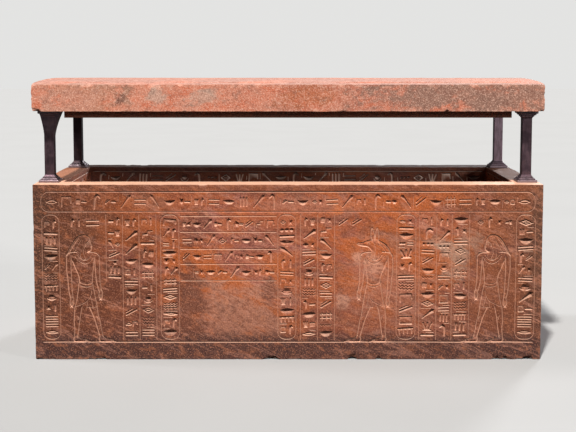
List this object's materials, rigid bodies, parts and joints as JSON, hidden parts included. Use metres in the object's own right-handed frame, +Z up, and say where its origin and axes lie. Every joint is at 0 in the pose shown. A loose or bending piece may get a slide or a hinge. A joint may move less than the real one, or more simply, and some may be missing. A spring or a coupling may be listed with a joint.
{
  "type": "stone sarcophagus",
  "caption": "Hollow rectangular stone chest with carved sides, and a loose slab lid held up above it by metal posts.",
  "frame": {"origin": "middle of the chest's underside, on the surface it stands on", "axes": "+Z up, +X along the length, -Y out of the long side with the three standing figures"},
  "size_m": [2.25, 0.87, 1.246],
  "materials": {
    "chest_stone": "worn, dull",
    "lid_stone": "rough, pecked",
    "post_metal": "dark, satin"
  },
  "bodies": {
    "root": {"chest": "chest_stone", "lid": "lid_stone", "post_front_left": "post_metal", "post_front_right": "post_metal", "post_back_left": "post_metal", "post_back_right": "post_metal"}
  },
  "joints": []
}
